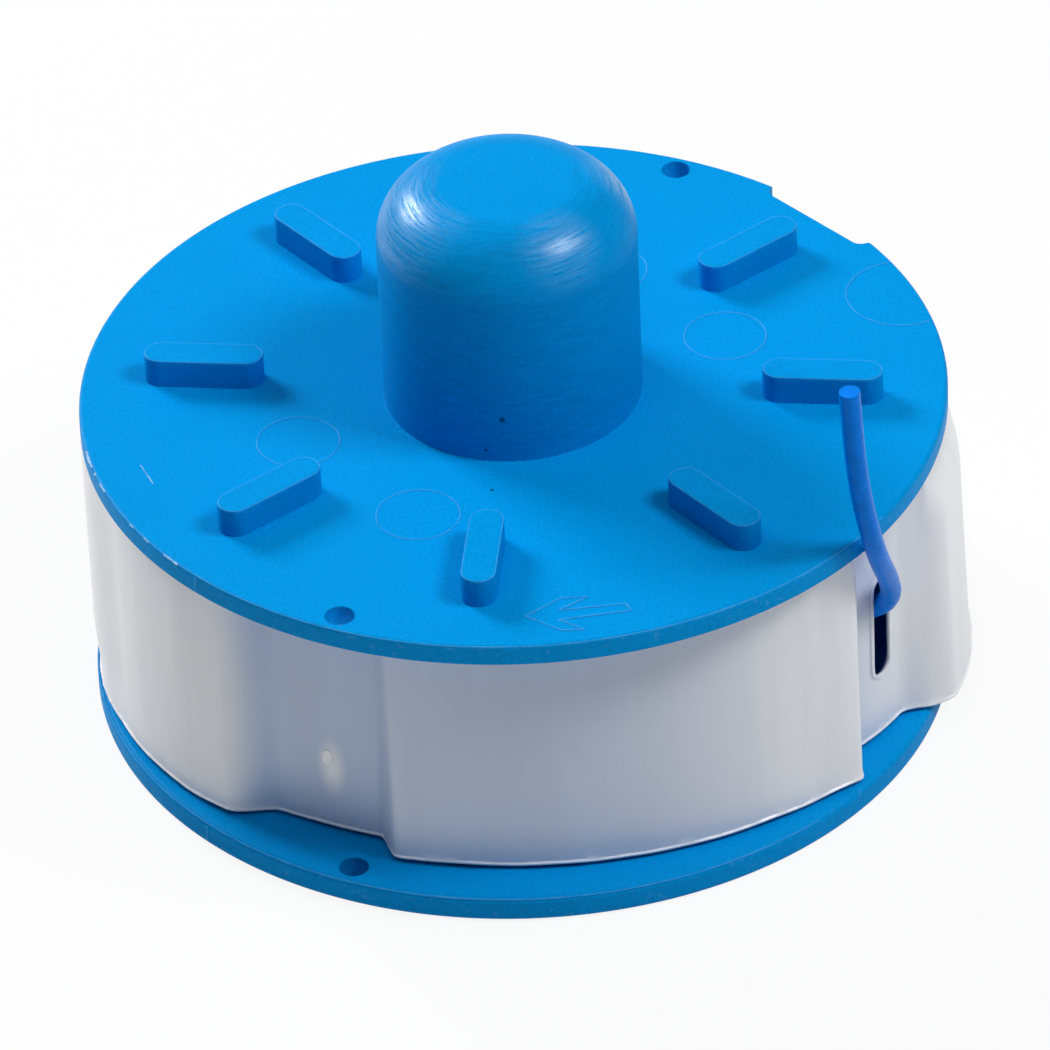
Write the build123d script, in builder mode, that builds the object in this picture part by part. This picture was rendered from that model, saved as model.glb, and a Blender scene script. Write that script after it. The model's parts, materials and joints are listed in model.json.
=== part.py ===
"""Spool of trimmer line: the moulded spool, its wound line, the line's free end and the soft band round it.

Millimetres. The origin is on the spool's axis at the underside of the lower flange.
+Z points towards the tap boss, and +X lies along one of the drive lugs.
"""
import os
from math import radians, sqrt, tan

from build123d import *

# Flanges of the spool and the room between them
flange_radius = 31.0
lower_flange_thickness = 2.1
upper_flange_thickness = 1.6
winding_width = 20.5
lower_rim_bottom_radius = 0.6
rim_edge_radius = 0.3

# Closed tap boss, its hub sleeve, and the drum joined to the sleeve by webs
boss_radius = 9.25
boss_height = 17.6
boss_shoulder_radius = 4.6
boss_foot_radius = 0.4
boss_wall = 2.0
crown_thickness = 2.4
bore_crown_radius = 2.4
pocket_width = 2.65
drum_wall = 1.6
web_thickness = 1.5
web_recess = 1.2

# Drive lugs on the upper flange
lug_count = 8
lug_rim_distance = 5.8
lug_length = 6.1
lug_width = 2.5
lug_height = 2.2
lug_edge_radius = 0.2

# Line holes through both flanges, and the notch in the upper rim
line_hole_diameter = 2.1
line_hole_rim_wall = 0.55
line_hole_angle = 71.3
notch_angle = 47.8
notch_width = 10.2
notch_depth = 1.4
notch_corner_radius = 0.8

# Wound line
line_diameter = 1.5
winding_rim_distance = 6.0
winding_clearance = 0.1
turn_bulge = 0.4

# Soft band: an oval wall, pressed flatter at the front, with four recesses named by the angle that they face.
# Its slack is how far the oval stands beyond the size that would bring the recess floors to the winding.
band_wall = 0.6
band_end_slack = 3.3
band_front_slack = -2.4
band_back_slack = 4.3
band_centre_x = 1.2
band_centre_y = -2.2
band_turn = 8.9
band_top_clearance = 0.3
recess_depth = 2.1
recess_angles = (60, 140, 240.5)
recess_floor_width = 9.3
slot_recess_angle = 319.2
slot_recess_floor_width = 7.2
recess_side_flare = 38.0
recess_corner_radius = 1.4
slot_length = 8.5
slot_drop = 0.45
slot_clearance = 0.3
slot_lip_width = 0.55
slot_lip_height = 0.2

# Route of the free end: out through the slot, a tight bend, up past the rim and on to the cut end
tail_route = [
    (24.2, -9.4, 11.8),
    (26.75, -10.65, 13.4),
    (27.7, -11.7, 15.3),
    (27.6, -13.5, 18.1),
    (27.3, -16.3, 21.6),
    (26.9, -18.4, 25.2),
    (26.2, -19.8, 29.8),
    (25.8, -20.4, 34.6),
    (25.6, -20.5, 39.1),
]
tail_bend_reach = 0.45

# Heights and radii that the pieces share
lower_face = lower_flange_thickness
upper_underside = lower_face + winding_width
upper_face = upper_underside + upper_flange_thickness
boss_top = upper_face + boss_height
bore_radius = boss_radius - boss_wall
bore_top = boss_top - crown_thickness
drum_bore_radius = boss_radius + pocket_width
drum_radius = drum_bore_radius + drum_wall
lug_outer_radius = flange_radius - lug_rim_distance
line_hole_circle_radius = flange_radius - line_hole_rim_wall - line_hole_diameter / 2
winding_radius = flange_radius - winding_rim_distance

os.makedirs("parts", exist_ok=True)


def corner(sketch, radius, height):
    """The sketch's vertex nearest to a place in the half section."""
    return sketch.vertices().sort_by_distance((radius, height))[0]


# Spool: one half section turned round the axis, then webs, lugs, holes and notch
with BuildPart() as spool:
    with BuildSketch(Plane.XZ) as half_section:
        with BuildLine():
            Polyline(
                (bore_radius, 0),
                (boss_radius, 0),
                (boss_radius, upper_underside),
                (drum_bore_radius, upper_underside),
                (drum_bore_radius, 0),
                (flange_radius, 0),
                (flange_radius, lower_face),
                (drum_radius, lower_face),
                (drum_radius, upper_underside),
                (flange_radius, upper_underside),
                (flange_radius, upper_face),
                (boss_radius, upper_face),
                (boss_radius, boss_top),
                (0, boss_top),
                (0, bore_top),
                (bore_radius, bore_top),
                close=True,
            )
        make_face()
        fillet(corner(half_section, boss_radius, boss_top), boss_shoulder_radius)
        fillet(corner(half_section, bore_radius, bore_top), bore_crown_radius)
        fillet(corner(half_section, boss_radius, upper_face), boss_foot_radius)
        fillet(corner(half_section, flange_radius, 0), lower_rim_bottom_radius)
        fillet(corner(half_section, flange_radius, lower_face), rim_edge_radius)
        fillet(corner(half_section, flange_radius, upper_face), rim_edge_radius)
    revolve(axis=Axis.Z)

    with BuildSketch(Plane.XY.offset(web_recess)):
        with PolarLocations((boss_radius + drum_bore_radius) / 2, lug_count):
            Rectangle(drum_bore_radius - boss_radius + drum_wall, web_thickness)
    extrude(amount=upper_underside - web_recess)

    with BuildSketch(Plane.XY.offset(upper_face)):
        with PolarLocations(lug_outer_radius - lug_length / 2, lug_count):
            SlotCenterToCenter(lug_length, lug_width)
    lugs = extrude(amount=lug_height)
    fillet(lugs.edges().group_by(Axis.Z)[-1], lug_edge_radius)

    with Locations((0, 0, upper_face)):
        with PolarLocations(line_hole_circle_radius, 2, start_angle=line_hole_angle):
            Hole(line_hole_diameter / 2)

    with BuildSketch(Plane.XY.offset(upper_underside)):
        with PolarLocations(flange_radius, 1, start_angle=notch_angle):
            RectangleRounded(2 * notch_depth, notch_width, notch_corner_radius)
    extrude(amount=upper_flange_thickness, mode=Mode.SUBTRACT)
spool.part.label = "spool"

# Wound line: one ring whose outside shows the last layer's turns
winding_bottom = lower_face + winding_clearance
winding_top = upper_underside - winding_clearance
turn_count = int((winding_top - winding_bottom) / line_diameter)
turn_pitch = (winding_top - winding_bottom) / turn_count
valley_radius = winding_radius - turn_bulge
with BuildPart() as line_winding:
    with BuildSketch(Plane.XZ):
        with BuildLine():
            Polyline(
                (valley_radius, winding_bottom),
                (drum_radius + winding_clearance, winding_bottom),
                (drum_radius + winding_clearance, winding_top),
                (valley_radius, winding_top),
            )
            for turn in range(turn_count):
                turn_bottom = winding_bottom + turn * turn_pitch
                ThreePointArc(
                    (valley_radius, turn_bottom),
                    (winding_radius, turn_bottom + turn_pitch / 2),
                    (valley_radius, turn_bottom + turn_pitch),
                )
        make_face()
    revolve(axis=Axis.Z)
line_winding.part.label = "line_winding"


# Band: an oval of tangent arcs, front and back halves meeting at its ends
def oval_arcs(half_length, reach):
    """End arc radius, side arc radius and offset of their centres for half an oval."""
    end_radius = (half_length + reach - sqrt(2) * half_length) / (2 - sqrt(2))
    centre_offset = half_length - end_radius
    return end_radius, end_radius + sqrt(2) * centre_offset, centre_offset


snug_reach = winding_radius + band_wall + recess_depth
band_half_length = snug_reach + band_end_slack
front_end, front_side, front_offset = oval_arcs(band_half_length, snug_reach + band_front_slack)
back_end, back_side, back_offset = oval_arcs(band_half_length, snug_reach + band_back_slack)
band_arcs = {
    (0, 45): (back_offset, 0, back_end),
    (45, 135): (0, -back_offset, back_side),
    (135, 180): (-back_offset, 0, back_end),
    (180, 225): (-front_offset, 0, front_end),
    (225, 315): (0, front_offset, front_side),
    (315, 360): (front_offset, 0, front_end),
}


def band_oval(inset):
    """Outline of the oval wall, a given distance inside its outer face."""
    with BuildLine() as oval:
        for (start, end), (centre_x, centre_y, radius) in band_arcs.items():
            CenterArc((centre_x, centre_y), radius - inset, start, end - start)
    return oval.edges()


def facing_location(facing, inset):
    """Place on the oval wall that faces a given way, with X pointing out of the wall."""
    for (start, end), (centre_x, centre_y, radius) in band_arcs.items():
        if start <= facing < end:
            out = Vector(1, 0, 0).rotate(Axis.Z, facing)
            return Location(Vector(centre_x, centre_y, 0) + out * (radius - inset), (0, 0, facing))


band_plane = Plane(origin=(band_centre_x, band_centre_y, lower_face)).rotated((0, 0, band_turn))
band_height = winding_width - band_top_clearance
recess_floors = {facing: recess_floor_width for facing in recess_angles}
recess_floors[slot_recess_angle] = slot_recess_floor_width
bite_below_floor = recess_depth / 2
bite_above_floor = 2 * recess_depth
flare = tan(radians(recess_side_flare))
with BuildPart() as line_band:
    with BuildSketch(band_plane):
        make_face(band_oval(0))
        for facing, floor_width in recess_floors.items():
            bite_middle = recess_depth - (bite_above_floor - bite_below_floor) / 2
            with Locations(facing_location(facing, bite_middle)):
                Trapezoid(
                    floor_width + 2 * bite_above_floor * flare,
                    bite_above_floor + bite_below_floor,
                    90 - recess_side_flare,
                    rotation=90,
                    mode=Mode.SUBTRACT,
                )
        make_face(band_oval(recess_depth))
        offset(amount=recess_corner_radius)
        offset(amount=-2 * recess_corner_radius)
        offset(amount=recess_corner_radius)
        offset(amount=-band_wall, mode=Mode.SUBTRACT)
    extrude(amount=band_height)

    slot_width = line_diameter + 2 * slot_clearance
    slot_floor = Plane(band_plane.location * facing_location(slot_recess_angle, recess_depth))
    slot_middle = slot_floor.origin + Vector(0, 0, band_height / 2 - slot_drop)
    slot_plane = Plane(slot_middle, x_dir=slot_floor.z_dir, z_dir=slot_floor.x_dir)
    with BuildSketch(slot_plane.offset(-band_wall / 2)):
        SlotOverall(slot_length + 2 * slot_lip_width, slot_width + 2 * slot_lip_width)
    extrude(amount=band_wall / 2 + slot_lip_height)
    with BuildSketch(slot_plane):
        SlotOverall(slot_length, slot_width)
    extrude(amount=band_wall + slot_lip_height, both=True, mode=Mode.SUBTRACT)
line_band.part.label = "line_band"

# Free end of the line: a round tube along straight runs and tangent arcs
tail_points = [Vector(*point) for point in tail_route]
tail_radii = []
for before, point, after in zip(tail_points, tail_points[1:], tail_points[2:]):
    half_turn = radians((point - before).get_angle(after - point) / 2)
    shorter_run = min((point - before).length, (after - point).length)
    tail_radii.append(tail_bend_reach * shorter_run / tan(half_turn))
with BuildPart() as line_tail:
    with BuildLine():
        tail_path = FilletPolyline(*tail_points, radius=tail_radii)
    with BuildSketch(Plane(origin=tail_path @ 0, z_dir=tail_path % 0)):
        Circle(line_diameter / 2)
    sweep()
line_tail.part.label = "line_tail"
print("line_tail bend radii:", [round(radius, 2) for radius in tail_radii])
print("line_tail length:", round(tail_path.length, 2))

export_step(spool.part, "parts/spool.step")
export_step(line_winding.part, "parts/line_winding.step")
export_step(line_band.part, "parts/line_band.step")
export_step(line_tail.part, "parts/line_tail.step")
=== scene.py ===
"""Looks of a spool of trimmer line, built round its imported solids: the moulded spool and its surface marks,
the wound line with its free end, the milky band round it, and a plain studio.

Metres. The origin is on the spool's axis at the underside of the lower flange, with +Z towards the tap boss.
"""

import json
import math

import bmesh
import bpy
from bpy.props import FloatProperty, FloatVectorProperty, IntProperty, PointerProperty
from mathutils import Matrix, Vector, noise
from mathutils.bvhtree import BVHTree


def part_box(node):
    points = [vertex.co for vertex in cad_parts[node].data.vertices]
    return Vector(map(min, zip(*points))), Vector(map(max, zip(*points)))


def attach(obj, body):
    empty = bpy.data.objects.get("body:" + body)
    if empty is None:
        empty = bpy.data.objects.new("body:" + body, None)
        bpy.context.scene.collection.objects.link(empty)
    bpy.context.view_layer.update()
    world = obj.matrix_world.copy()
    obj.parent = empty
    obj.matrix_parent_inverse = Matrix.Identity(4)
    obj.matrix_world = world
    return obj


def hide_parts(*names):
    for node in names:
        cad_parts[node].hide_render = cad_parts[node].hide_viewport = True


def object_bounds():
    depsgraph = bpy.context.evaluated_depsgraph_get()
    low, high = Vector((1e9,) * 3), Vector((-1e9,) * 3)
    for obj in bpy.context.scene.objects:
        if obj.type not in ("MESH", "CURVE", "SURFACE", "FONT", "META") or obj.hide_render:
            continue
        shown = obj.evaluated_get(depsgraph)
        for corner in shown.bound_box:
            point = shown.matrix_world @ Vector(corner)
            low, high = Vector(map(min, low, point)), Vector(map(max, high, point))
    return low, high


bl_info = {
    "name": "Trimmer line spool",
    "version": (1, 0, 0),
    "blender": (4, 5, 0),
    "location": "View3D > Sidebar > Line spool",
    "description": "Builds a spool of trimmer line with its band and free line end",
    "category": "Object",
}

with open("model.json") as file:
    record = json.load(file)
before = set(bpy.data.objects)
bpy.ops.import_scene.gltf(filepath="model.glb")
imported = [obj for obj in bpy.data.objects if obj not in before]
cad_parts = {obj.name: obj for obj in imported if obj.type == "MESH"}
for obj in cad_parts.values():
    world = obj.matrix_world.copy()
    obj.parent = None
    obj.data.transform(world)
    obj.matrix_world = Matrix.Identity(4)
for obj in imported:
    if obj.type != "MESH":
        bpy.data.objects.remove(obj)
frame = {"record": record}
cad_low, cad_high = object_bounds()
spool_low, spool_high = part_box("spool")
winding_low, winding_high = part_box("line_winding")
band_low, band_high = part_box("line_band")
mounts = {mount["name"]: mount for mount in frame["record"]["mounts"]}
MM = 0.001
UP = Vector((0, 0, 1))


def length(name, description, default):
    """A property that holds a length in metres."""
    return FloatProperty(name=name, description=description, default=default, unit="LENGTH", precision=5)


def angle(name, description, degrees):
    """A property that holds an angle, given in degrees."""
    return FloatProperty(name=name, description=description, default=math.radians(degrees), subtype="ANGLE")


def share(name, description, default):
    """A property that holds a share from 0 to 1."""
    return FloatProperty(name=name, description=description, default=default, min=0, max=1, subtype="FACTOR")


def colour(name, description, default):
    """A property that holds a colour."""
    return FloatVectorProperty(
        name=name, description=description, default=default, size=3, min=0, max=1, subtype="COLOR")


def power(name, description, watts):
    """A property that holds the power of a lamp."""
    return FloatProperty(name=name, description=description, default=watts, unit="POWER")


class MouldingSizes(bpy.types.PropertyGroup):
    """Sizes and finish of the moulded spool."""

    flange_radius: length("Flange radius", "Radius of both flanges", spool_high.x)
    lower_face: length("Lower face", "Height of the lower flange's upper face", band_low.z)
    upper_underside: length(
        "Upper underside", "Height of the upper flange's underside", winding_high.z + 0.1 * MM)
    upper_face: length("Upper face", "Height of the upper flange's face", mounts["drive_lugs"]["pos_m"][2])
    rim_bottom: length("Rim bottom", "Rounding of the lower rim where it meets the ground", 0.6 * MM)
    rim_edge: length("Rim edge", "Rounding of the other rim edges", 0.3 * MM)
    lower_rim_edge: length("Lower rim edge", "Rounding of the lower rim's upper edge", 0.5 * MM)
    boss_radius: length("Boss radius", "Radius of the tap boss", mounts["tap_boss"]["dims"]["r_mm"] * MM)
    boss_top: length("Boss top", "Height of the tap boss's flat top", spool_high.z)
    boss_shoulder: length("Boss shoulder", "Rounding of the tap boss's shoulder", 4.6 * MM)
    boss_foot: length("Boss foot", "Rounding where the tap boss meets the flange", 0.05 * MM)
    bore_radius: length("Bore radius", "Radius of the hub bore", mounts["hub_bore"]["dims"]["r_mm"] * MM)
    crown: length("Crown", "Thickness of the tap boss's top", 2.4 * MM)
    pocket_width: length("Pocket width", "Gap between the hub sleeve and the drum", 2.65 * MM)
    drum_wall: length("Drum wall", "Wall of the drum that carries the line", 1.6 * MM)
    web_thickness: length("Web thickness", "Thickness of the webs between sleeve and drum", 1.5 * MM)
    web_recess: length("Web recess", "How far the webs stand back from the underside", 1.2 * MM)
    lug_count: IntProperty(name="Lugs", description="Drive lugs round the upper flange", default=8, min=1)
    lug_rim_distance: length("Lug distance", "From the rim to the centre of a lug's outer end", 5.8 * MM)
    lug_length: length("Lug length", "Between the centres of a lug's round ends", 6.1 * MM)
    lug_width: length("Lug width", "Width of a lug", 2.5 * MM)
    lug_height: length("Lug height", "Height of a lug above the flange", 2.2 * MM)
    lug_edge: length("Lug edge", "Rounding of a lug's upper edge", 0.2 * MM)
    hole_diameter: length("Line hole", "Diameter of the line holes", 2.1 * MM)
    hole_flare: length("Hole flare", "Softening of the line holes' edges", 0.04 * MM)
    hole_rim_wall: length("Hole wall", "Material between a line hole and the rim", 0.55 * MM)
    hole_angle: angle("Hole angle", "Way the first line hole lies from +X", 71.3)
    notch_angle: angle("Notch angle", "Way the rim notch lies from +X", 47.8)
    notch_width: length("Notch width", "Width of the rim notch", 10.2 * MM)
    notch_depth: length("Notch depth", "Depth of the rim notch", 1.4 * MM)
    notch_slant: share("Notch slant", "How far the rim notch's sides lean out for each unit of depth", 0.5)
    notch_corner: length("Notch corner", "Rounding in the rim notch's corners", 0.8 * MM)
    blue: colour("Spool blue", "Colour of the moulding", (0.0, 0.30, 0.745))
    # Also the paler blue of the painted highlights on the boss's shoulder and on the raised marks
    scuffed_and_highlight: colour("Scuffed blue", "Colour of rubbed edges", (0.30, 0.58, 0.86))
    whitened: colour("Whitened blue", "Colour of torn flash", (0.62, 0.82, 0.93))
    roughness: share("Roughness", "Roughness of the moulding", 0.44)


class LineSizes(bpy.types.PropertyGroup):
    """Sizes and finish of the line."""

    diameter: length("Line diameter", "Thickness of the line", 1.5 * MM)
    winding_radius: length("Winding radius", "Radius over the last layer of line", winding_high.x)
    core_radius: length("Core radius", "Inner radius of the winding", 13.6 * MM)
    winding_bottom: length("Winding bottom", "Height of the lowest turn's underside", winding_low.z)
    winding_top: length("Winding top", "Height of the highest turn's top", winding_high.z)
    tail_length: length("Free end", "Length of the line's free end", 31.7 * MM)
    blue: colour("Line blue", "Colour of the line", (0.0, 0.185, 0.74))


class BandSizes(bpy.types.PropertyGroup):
    """Sizes and finish of the soft band."""

    wall: length("Wall", "Thickness of the band", 0.6 * MM)
    bottom: length("Bottom", "Height of the band's lower edge", band_low.z)
    top: length("Top", "Height of the band's upper edge", band_high.z)
    half_length: length("Half length", "Half the band's length along its long axis", 31.0 * MM)
    front_reach: length("Front reach", "From the band's centre to its front", 25.3 * MM)
    back_reach: length("Back reach", "From the band's centre to its back", 32.0 * MM)
    centre_x: length("Centre X", "Place of the band's centre", 1.2 * MM)
    centre_y: length("Centre Y", "Place of the band's centre", -2.2 * MM)
    turn: angle("Turn", "Turn of the band's long axis from +X", 8.9)
    recess_depth: length("Recess depth", "Depth of the recesses in the wall", 2.1 * MM)
    recess_corner: length("Recess corner", "Length over which a recess's side runs in", 2.6 * MM)
    slot_length: length("Slot length", "Length of the slot for the line", 8.5 * MM)
    slot_width: length("Slot width", "Width of the slot for the line", 1.8 * MM)
    slot_drop: length("Slot drop", "Depth of the slot's middle below the wall's middle", 0.45 * MM)
    lip_width: length("Lip width", "Width of the raised lip round the slot", 0.30 * MM)
    lip_height: length("Lip height", "Height of the raised lip round the slot", 0.10 * MM)
    spread: length("Spread", "How far the right end leans out from top to bottom", 0.8 * MM)
    waviness: length("Waviness", "Unevenness of the soft wall", 0.10 * MM)
    lift: length("Lift", "How far the lower edge stands off the flange", 0.22 * MM)
    burr: length("Burr", "How far the ragged lower edge turns out", 0.15 * MM)
    left_reach: length("Left reach", "How far the left end is pulled out", 0.95 * MM)
    tucked: length("Tucked", "Radius that the right end's upper edge is tucked in to", 30.7 * MM)
    milk: colour("Band milk", "Colour of the milky plastic", (0.87, 0.89, 0.93))
    # Also painted shade: this darker blue is mixed in where the wall comes close to the winding, at the front
    # and in the recesses
    shown_line_and_shade: colour(
        "Line through milk", "Colour where the line lies close behind the wall", (0.53, 0.63, 0.80))


class StageSizes(bpy.types.PropertyGroup):
    """Camera and light of the studio."""

    camera_place: FloatVectorProperty(
        name="Camera place", description="Place of the camera", subtype="XYZ", unit="LENGTH",
        default=(67.135 * MM, -566.863 * MM, 429.49 * MM))
    camera_azimuth: angle("Azimuth", "Way the camera stands round the spool", 6.71)
    camera_elevation: angle("Elevation", "How steeply the camera looks down", 36.19)
    camera_roll: angle("Roll", "Tilt of the picture", -2.40)
    lens: FloatProperty(
        name="Lens", description="Focal length in millimetres", default=336.48, subtype="DISTANCE_CAMERA")
    room_light: FloatProperty(name="Room light", description="Even light from all round", default=0.03, min=0)
    left_light: power("Left light", "Watts of the left softbox", 3.1)
    right_light: power("Right light", "Watts of the right softbox", 2.1)
    front_light: power("Front light", "Watts of the softbox above the front", 1.25)
    back_light: power("Back light", "Watts of the softbox above the back", 0.25)
    floor_white: colour("Floor", "Colour of the floor", (0.82, 0.82, 0.82))


# Node trees

def feed(tree, node, feeds):
    """Give a node's inputs, by name or number, a value or another node's output."""
    for key, value in feeds.items():
        if isinstance(value, bpy.types.NodeSocket):
            tree.links.new(value, node.inputs[key])
        else:
            node.inputs[key].default_value = value


def place(tree, kind, feeds=None, **settings):
    """Add a node to a tree, with its settings and what its inputs are fed."""
    node = tree.nodes.new(kind)
    for key, value in settings.items():
        setattr(node, key, value)
    feed(tree, node, feeds or {})
    return node


def maths(tree, operation, *values):
    """The output of a Math node."""
    return place(tree, "ShaderNodeMath", dict(enumerate(values)), operation=operation).outputs[0]


def times(tree, *values):
    """The product of values and outputs."""
    product = values[0]
    for value in values[1:]:
        product = maths(tree, "MULTIPLY", product, value)
    return product


def ramp(tree, value, start, end, low=0.0, high=1.0):
    """The output of a Map Range node that goes smoothly from low at start to high at end."""
    feeds = {"Value": value, "From Min": start, "From Max": end, "To Min": low, "To Max": high}
    return place(tree, "ShaderNodeMapRange", feeds, interpolation_type="SMOOTHSTEP").outputs["Result"]


def mixed(tree, factor, first, second):
    """The output of a colour Mix node."""
    return place(tree, "ShaderNodeMix", {0: factor, 6: first, 7: second}, data_type="RGBA").outputs[2]


def noisy(tree, vector, scale, detail=2.0, roughness=0.5):
    """The value of a Noise Texture."""
    feeds = {"Vector": vector, "Scale": scale, "Detail": detail, "Roughness": roughness}
    return place(tree, "ShaderNodeTexNoise", feeds).outputs["Fac"]


def stretched(tree, vector, scale):
    """A vector stretched by a Mapping node."""
    return place(tree, "ShaderNodeMapping", {"Vector": vector, "Scale": scale}).outputs["Vector"]


def round_axis(tree, where):
    """The axes of a place, and its distance from the spool's axis."""
    axes = place(tree, "ShaderNodeSeparateXYZ", {"Vector": where}).outputs
    flat = place(tree, "ShaderNodeCombineXYZ", {"X": axes["X"], "Y": axes["Y"]}).outputs["Vector"]
    return axes, place(tree, "ShaderNodeVectorMath", {0: flat}, operation="LENGTH").outputs["Value"]


def close_to(tree, vector, centre, size, core, high=1.0):
    """A mask that rises to high round a centre, from a size in to a core, all in millimetres."""
    away = place(tree, "ShaderNodeVectorMath", {0: vector, 1: Vector(centre) * MM}, operation="DISTANCE")
    return ramp(tree, away.outputs["Value"], size * MM, core * MM, 0.0, high)


def spotted(tree, where, mask, spots, core):
    """A mask joined by round spots of x, y, z and size in millimetres, each full over a share of its size."""
    for *centre, size in spots:
        mask = maths(tree, "MAXIMUM", mask, close_to(tree, where, centre, size, core * size))
    return mask


def opaque(shade, strength=1.0):
    """A solid colour, made deeper or brighter by a factor."""
    return tuple(min(1.0, strength * part) for part in shade) + (1.0,)


def new_group(name, kind, inputs, outputs):
    """A node group with the named inputs, each a socket type and default, and outputs, each a socket type."""
    tree = bpy.data.node_groups.new(name, kind)
    for label, (socket, default) in inputs.items():
        made = tree.interface.new_socket(label, in_out="INPUT", socket_type="NodeSocket" + socket)
        if default is not None:
            made.default_value = default
    for label, socket in outputs.items():
        tree.interface.new_socket(label, in_out="OUTPUT", socket_type="NodeSocket" + socket)
    return tree, tree.nodes.new("NodeGroupInput").outputs, tree.nodes.new("NodeGroupOutput").inputs


def moulded_grain():
    """Shader group: the fine grain and the soft mottling of moulded plastic."""
    if "Moulded grain" in bpy.data.node_groups:
        return bpy.data.node_groups["Moulded grain"]
    inputs = {"Vector": ("Vector", None), "Grain per metre": ("Float", 4000.0),
              "Mottle per metre": ("Float", 250.0)}
    outputs = {"Grain": "Float", "Mottle": "Float"}
    tree, given, result = new_group("Moulded grain", "ShaderNodeTree", inputs, outputs)
    grain = noisy(tree, given["Vector"], given["Grain per metre"], detail=3.0, roughness=0.6)
    mottle = noisy(tree, given["Vector"], given["Mottle per metre"], detail=4.0, roughness=0.6)
    tree.links.new(grain, result["Grain"])
    tree.links.new(mottle, result["Mottle"])
    return tree


def stray_specks():
    """Shader group: sparse specks of dust or dirt."""
    if "Stray specks" in bpy.data.node_groups:
        return bpy.data.node_groups["Stray specks"]
    inputs = {"Vector": ("Vector", None), "Cells per metre": ("Float", 300.0), "Size": ("Float", 0.05),
              "Kept": ("Float", 0.2)}
    tree, given, result = new_group("Stray specks", "ShaderNodeTree", inputs, {"Mask": "Float"})
    feeds = {"Vector": given["Vector"], "Scale": given["Cells per metre"]}
    cells = place(tree, "ShaderNodeTexVoronoi", feeds)
    near = maths(tree, "LESS_THAN", cells.outputs["Distance"], given["Size"])
    chosen = place(tree, "ShaderNodeSeparateColor", {"Color": cells.outputs["Color"]})
    kept = maths(tree, "LESS_THAN", chosen.outputs["Red"], given["Kept"])
    tree.links.new(maths(tree, "MULTIPLY", near, kept), result["Mask"])
    return tree


def grained(tree, where, grain, mottle):
    """The masks of grain and mottling, with so many of each to a metre."""
    feeds = {"Vector": where, "Grain per metre": grain, "Mottle per metre": mottle}
    return place(tree, "ShaderNodeGroup", feeds, node_tree=moulded_grain()).outputs


def specked(tree, where, cells, size, kept):
    """The mask of specks in a share of the cells, with so many cells to a metre."""
    feeds = {"Vector": where, "Cells per metre": cells, "Size": size, "Kept": kept}
    return place(tree, "ShaderNodeGroup", feeds, node_tree=stray_specks()).outputs["Mask"]


def bump(tree, height, distance):
    """A normal from a height, where a height of 1 stands for a distance in metres."""
    return place(tree, "ShaderNodeBump", {"Height": height, "Distance": distance}).outputs["Normal"]


def new_material(name):
    """A material, its tree, its shader and its Object coordinates."""
    material = bpy.data.materials.new(name)
    material.use_nodes = True
    tree = material.node_tree
    where = place(tree, "ShaderNodeTexCoord").outputs["Object"]
    return material, tree, tree.nodes["Principled BSDF"], where


# Spots on the moulding, as x, y, z and size in millimetres: where the boss's shoulder is glossier and painted
# paler as a painted highlight, and dirt at its foot
POLISH_AND_HIGHLIGHT_SPOTS = ((-6.7, -2.9, 40.7, 6.5), (4.6, -6.2, 40.6, 3.9), (7.6, 3.0, 39.8, 3.6))
DIRT = ((-0.3, -12.66, 24.2, 0.20), (0.22, -9.25, 27.83, 0.30), (-1.02, -9.19, 25.15, 0.16))


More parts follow.
